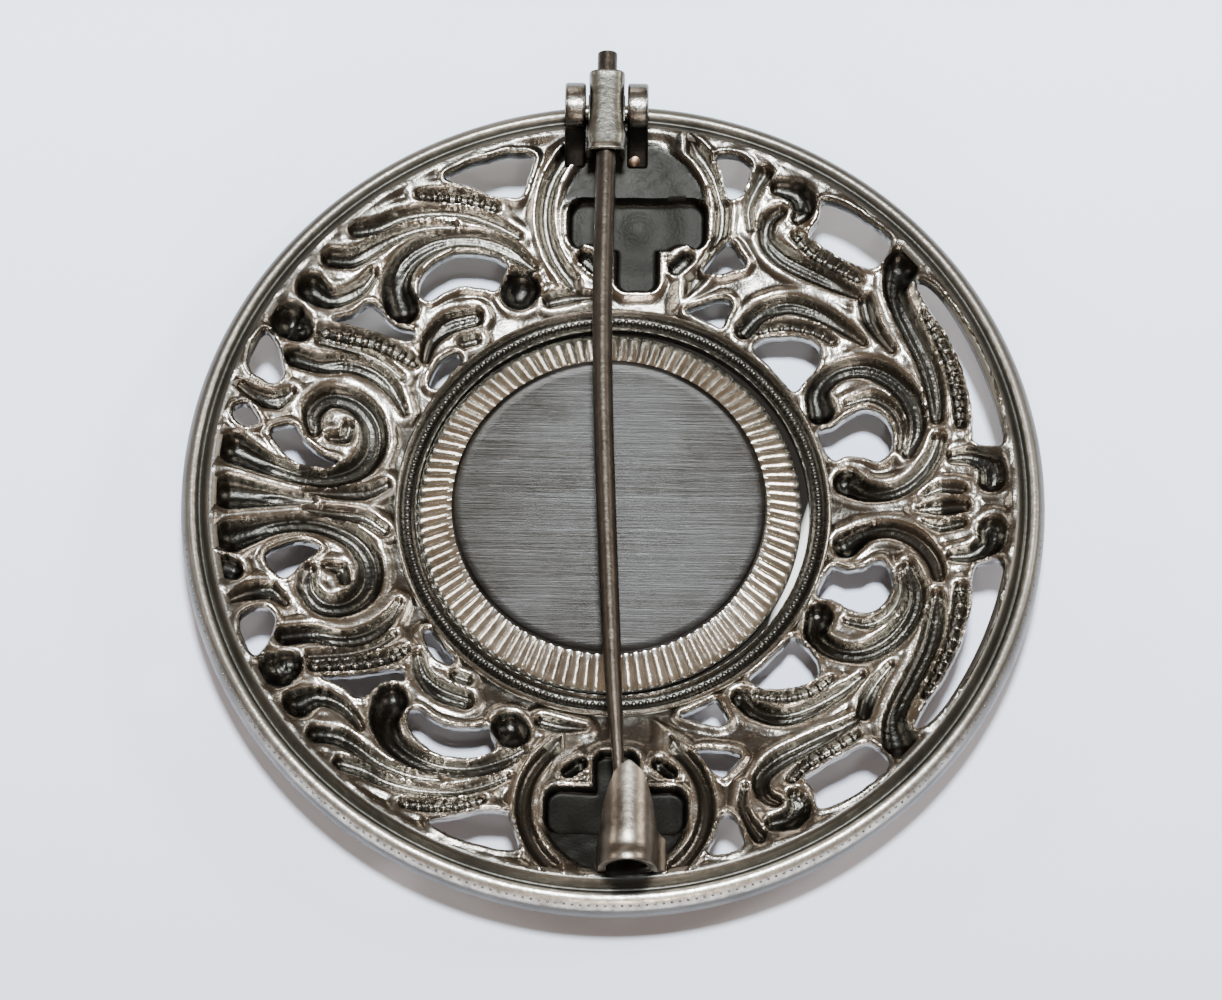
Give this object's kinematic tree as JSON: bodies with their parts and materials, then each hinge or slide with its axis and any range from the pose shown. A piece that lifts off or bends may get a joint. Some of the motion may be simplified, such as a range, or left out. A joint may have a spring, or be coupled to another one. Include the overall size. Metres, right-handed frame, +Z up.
{
  "type": "brooch",
  "caption": "Round pierced silver brooch with a milled setting cup, a cream plaque and a hinged pin that springs out of an open catch.",
  "frame": {"origin": "centre of the plaque's flat front, which the brooch rests on", "axes": "+Z up, away from the front and towards the pin; +Y towards the hinge, -Y towards the catch; +X towards the catch's open side"},
  "size_m": [0.045, 0.0467, 0.0079],
  "materials": {
    "oxidised_silver": "struck silver, dark in the hollows and worn bright on the ridges",
    "brushed_silver": "brushed and scratched silver",
    "cream_plaque": "plain cream-white, polished",
    "pin_wire": "tarnished white metal wire"
  },
  "bodies": {
    "frame": {"scroll_frame": "oxidised_silver", "setting_cup": "brushed_silver", "plaque": "cream_plaque"},
    "rivet": {"hinge_rivet": "pin_wire"},
    "pin": {"pin_stem": "pin_wire", "pin_sleeve": "brushed_silver"}
  },
  "joints": [
    {"name": "rivet_rock", "type": "hinge", "parent": "frame", "child": "rivet", "pos_m": [-0.00066, 0.0213, 0.00598], "axis": [0.3746, 0, 0.9272], "range_deg": [0, 3.8], "stiffness_Nm_per_rad": 0.006, "springref_deg": -2.86},
    {"name": "pin_swing", "type": "hinge", "parent": "rivet", "child": "pin", "pos_m": [-0.00066, 0.0213, 0.00598], "axis": [-1, 0, 0], "range_deg": [0, 65]}
  ]
}
